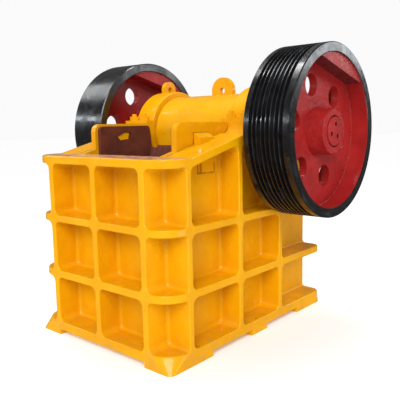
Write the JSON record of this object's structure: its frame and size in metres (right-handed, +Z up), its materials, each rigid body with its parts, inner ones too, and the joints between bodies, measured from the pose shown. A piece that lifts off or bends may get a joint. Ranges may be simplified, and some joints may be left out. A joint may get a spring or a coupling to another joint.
{
  "type": "jaw crusher",
  "caption": "Single-toggle jaw crusher with ribbed cast frame, toothed jaws, eccentric shaft, belt sheave and flywheel.",
  "frame": {"origin": "on the ground at the centre of the rectangle of foundation bolts", "axes": "+X along the eccentric shaft towards the belt sheave, +Y from the fixed jaw to the rear, +Z up"},
  "size_m": [1.696, 1.565, 1.611],
  "materials": {
    "yellow_paint": "thick glossy paint over rough castings",
    "red_paint": "semi-gloss red paint",
    "black_paint": "satin black paint on turned iron",
    "manganese_steel": "dull red-brown primer",
    "machined_steel": "turned",
    "rough_steel": "as rolled"
  },
  "bodies": {
    "frame": {"front_wall": "yellow_paint", "side_wall_right": "yellow_paint", "side_wall_left": "yellow_paint", "rear_wall": "yellow_paint", "bearing_cap_right": "yellow_paint", "bearing_cap_left": "yellow_paint", "cap_bolts_right": "yellow_paint", "cap_bolts_left": "yellow_paint", "bearing_cover_right": "yellow_paint", "bearing_cover_left": "yellow_paint", "cheek_key_right": "yellow_paint", "cheek_key_left": "yellow_paint", "toggle_block": "yellow_paint", "spring_bracket": "yellow_paint", "fixed_jaw_plate": "manganese_steel", "cheek_plate_right": "manganese_steel", "cheek_plate_left": "manganese_steel", "main_bearing_right": "machined_steel", "main_bearing_left": "machined_steel", "toggle_plate": "rough_steel", "adjusting_shims": "rough_steel", "tension_rod_right": "rough_steel", "tension_rod_left": "rough_steel", "rod_spring_right": "rough_steel", "rod_spring_left": "rough_steel", "rod_nuts_right": "rough_steel", "rod_nuts_left": "rough_steel"},
    "rotor": {"eccentric_shaft": "machined_steel", "sheave_rim": "black_paint", "sheave_web": "red_paint", "flywheel_rim": "black_paint", "flywheel_web": "red_paint", "hub_disc_right": "red_paint", "hub_disc_left": "red_paint"},
    "pitman": {"pitman": "yellow_paint", "movable_jaw_plate": "manganese_steel", "movable_jaw_clamp": "manganese_steel", "pitman_bearing_right": "machined_steel", "pitman_bearing_left": "machined_steel", "tension_rod_pins": "machined_steel"}
  },
  "joints": [
    {"name": "rotor_spin", "type": "hinge", "parent": "frame", "child": "rotor", "pos_m": [0, 0.282, 1.136], "axis": [1, 0, 0], "continuous": true},
    {"name": "pitman_orbit", "type": "hinge", "parent": "rotor", "child": "pitman", "pos_m": [0, 0.27891, 1.12649], "axis": [1, 0, 0], "continuous": true}
  ],
  "couplings": [
    {"joint": "pitman_orbit", "follows": "rotor_spin", "ratio": -1}
  ]
}
